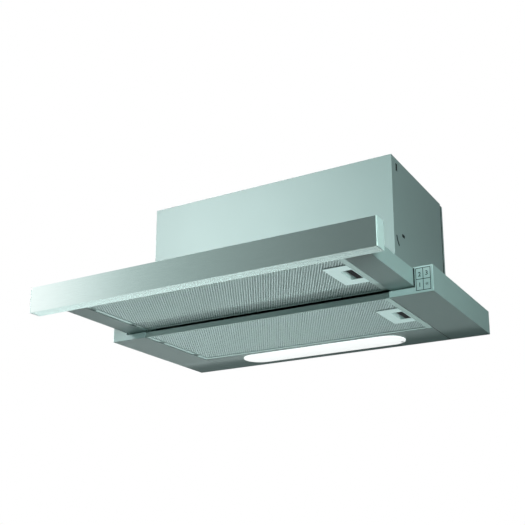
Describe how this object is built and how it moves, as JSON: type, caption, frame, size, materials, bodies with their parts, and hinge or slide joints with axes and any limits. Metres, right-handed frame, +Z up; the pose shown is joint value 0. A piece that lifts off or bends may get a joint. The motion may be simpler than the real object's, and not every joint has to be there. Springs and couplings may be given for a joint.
{
  "type": "pull out range hood",
  "caption": "Telescopic range hood with a steel base and upper box, sliding visor with a brushed fascia, hinged grease filters, push buttons, lamp, blower and duct collar.",
  "frame": {"origin": "middle of the four cabinet screws, on the base's top face that bears on the cabinet", "axes": "+X to the right, along the longest side; +Y towards the wall; +Z up, out of the bearing face"},
  "size_m": [0.598, 0.4919, 0.2783],
  "materials": {
    "grey_steel": "satin painted steel",
    "box_steel": "satin zinc coated steel",
    "fascia_steel": "brushed along its length",
    "grey_plastic": "fine texture",
    "cap_plastic": "satin, pale",
    "filter_aluminium": "matt rolled",
    "latch_aluminium": "matt rolled, pale",
    "mesh_aluminium": "expanded mesh",
    "black_plastic": "moulded",
    "seal_rubber": "extruded",
    "dark_plastic": "moulded",
    "zinc_steel": "bright zinc",
    "bright_steel": "bright drawn",
    "lamp_diffuser": "opal, lit",
    "lamp_glass": "opal glass",
    "white_ceramic": "glazed",
    "motor_metal": "dark painted",
    "capacitor_can": "drawn",
    "board_green": "coated board"
  },
  "bodies": {
    "hood_body": {"base_cover": "grey_steel", "side_channel_right": "grey_steel", "side_channel_left": "grey_steel", "light_panel": "grey_steel", "control_bezel": "grey_plastic", "front_cap": "grey_plastic", "control_board": "board_green", "motor_housing": "box_steel", "housing_top": "box_steel", "rear_panel": "box_steel", "rear_seal": "seal_rubber", "scroll_body": "dark_plastic", "scroll_cover": "dark_plastic", "motor": "motor_metal", "motor_bracket": "zinc_steel", "capacitor": "capacitor_can", "terminal_box": "dark_plastic", "cable_gland": "black_plastic", "outlet_collar": "black_plastic", "flap_axle": "bright_steel", "lamp_cover": "lamp_diffuser", "lamp_cover_screw": "zinc_steel", "lamps": "lamp_glass", "lamp_holders": "white_ceramic", "reflector": "bright_steel", "slide_rail_right": "zinc_steel", "slide_rail_left": "zinc_steel", "slide_bracket_right": "grey_steel", "slide_bracket_left": "grey_steel", "housing_screws": "zinc_steel", "rear_panel_screws": "zinc_steel", "collar_screws": "zinc_steel"},
    "visor": {"visor_tray": "grey_steel", "visor_cover": "grey_steel", "fascia": "fascia_steel", "fascia_end_caps": "cap_plastic", "fascia_screws": "zinc_steel", "slide_inner_right": "zinc_steel", "slide_inner_left": "zinc_steel"},
    "slide_middle_right": {"slide_middle_right": "zinc_steel"},
    "slide_middle_left": {"slide_middle_left": "zinc_steel"},
    "front_filter": {"front_filter_frame": "filter_aluminium", "front_filter_mesh": "mesh_aluminium", "front_latch_plate": "latch_aluminium", "front_latch_spring": "bright_steel"},
    "front_latch": {"front_latch_slider": "black_plastic"},
    "rear_filter": {"rear_filter_frame": "filter_aluminium", "rear_filter_mesh": "mesh_aluminium", "rear_latch_plate": "latch_aluminium", "rear_latch_spring": "bright_steel"},
    "rear_latch": {"rear_latch_slider": "black_plastic"},
    "impeller": {"impeller": "dark_plastic", "impeller_shaft": "bright_steel"},
    "flap_front": {"flap_front": "dark_plastic"},
    "flap_rear": {"flap_rear": "dark_plastic"},
    "button_1": {"button_1": "grey_plastic"},
    "button_2": {"button_2": "grey_plastic"},
    "button_3": {"button_3": "grey_plastic"},
    "button_light": {"button_light": "grey_plastic"}
  },
  "joints": [
    {"name": "visor_slide", "type": "slide", "parent": "hood_body", "child": "visor", "axis": [0, -1, 0], "range_m": [-0.1865, 0]},
    {"name": "slide_middle_right_slide", "type": "slide", "parent": "hood_body", "child": "slide_middle_right", "axis": [0, -1, 0], "range_m": [-0.09325, 0]},
    {"name": "slide_middle_left_slide", "type": "slide", "parent": "hood_body", "child": "slide_middle_left", "axis": [0, -1, 0], "range_m": [-0.09325, 0]},
    {"name": "front_filter_hinge", "type": "hinge", "parent": "visor", "child": "front_filter", "pos_m": [-0.226, -0.23725, -0.0259], "axis": [0, 1, 0], "range_deg": [0, 85]},
    {"name": "front_latch_slide", "type": "slide", "parent": "front_filter", "child": "front_latch", "axis": [-1, 0, 0], "range_m": [0, 0.004], "stiffness_N_per_m": 250, "springref_m": -0.002, "deforming": ["front_latch_spring"]},
    {"name": "rear_filter_hinge", "type": "hinge", "parent": "hood_body", "child": "rear_filter", "pos_m": [-0.226, -0.048, -0.0384], "axis": [0, 1, 0], "range_deg": [0, 85]},
    {"name": "rear_latch_slide", "type": "slide", "parent": "rear_filter", "child": "rear_latch", "axis": [-1, 0, 0], "range_m": [0, 0.004], "stiffness_N_per_m": 250, "springref_m": -0.002, "deforming": ["rear_latch_spring"]},
    {"name": "impeller_spin", "type": "hinge", "parent": "hood_body", "child": "impeller", "pos_m": [0, -0.02701, 0.09598], "axis": [1, 0, 0], "continuous": true},
    {"name": "flap_front_hinge", "type": "hinge", "parent": "hood_body", "child": "flap_front", "pos_m": [0, 0.02597, 0.2173], "axis": [-1, 0, 0], "range_deg": [0, 75]},
    {"name": "flap_rear_hinge", "type": "hinge", "parent": "hood_body", "child": "flap_rear", "pos_m": [0, 0.02597, 0.2173], "axis": [1, 0, 0], "range_deg": [0, 75]},
    {"name": "button_1_press", "type": "slide", "parent": "hood_body", "child": "button_1", "axis": [0, 1, 0], "range_m": [0, 0.0015], "stiffness_N_per_m": 400, "springref_m": -0.001},
    {"name": "button_2_press", "type": "slide", "parent": "hood_body", "child": "button_2", "axis": [0, 1, 0], "range_m": [0, 0.0015], "stiffness_N_per_m": 400, "springref_m": -0.001},
    {"name": "button_3_press", "type": "slide", "parent": "hood_body", "child": "button_3", "axis": [0, 1, 0], "range_m": [0, 0.0015], "stiffness_N_per_m": 400, "springref_m": -0.001},
    {"name": "button_light_press", "type": "slide", "parent": "hood_body", "child": "button_light", "axis": [0, 1, 0], "range_m": [0, 0.0015], "stiffness_N_per_m": 400, "springref_m": -0.001}
  ],
  "couplings": [
    {"joint": "slide_middle_right_slide", "follows": "visor_slide", "ratio": 0.5},
    {"joint": "slide_middle_left_slide", "follows": "visor_slide", "ratio": 0.5}
  ]
}
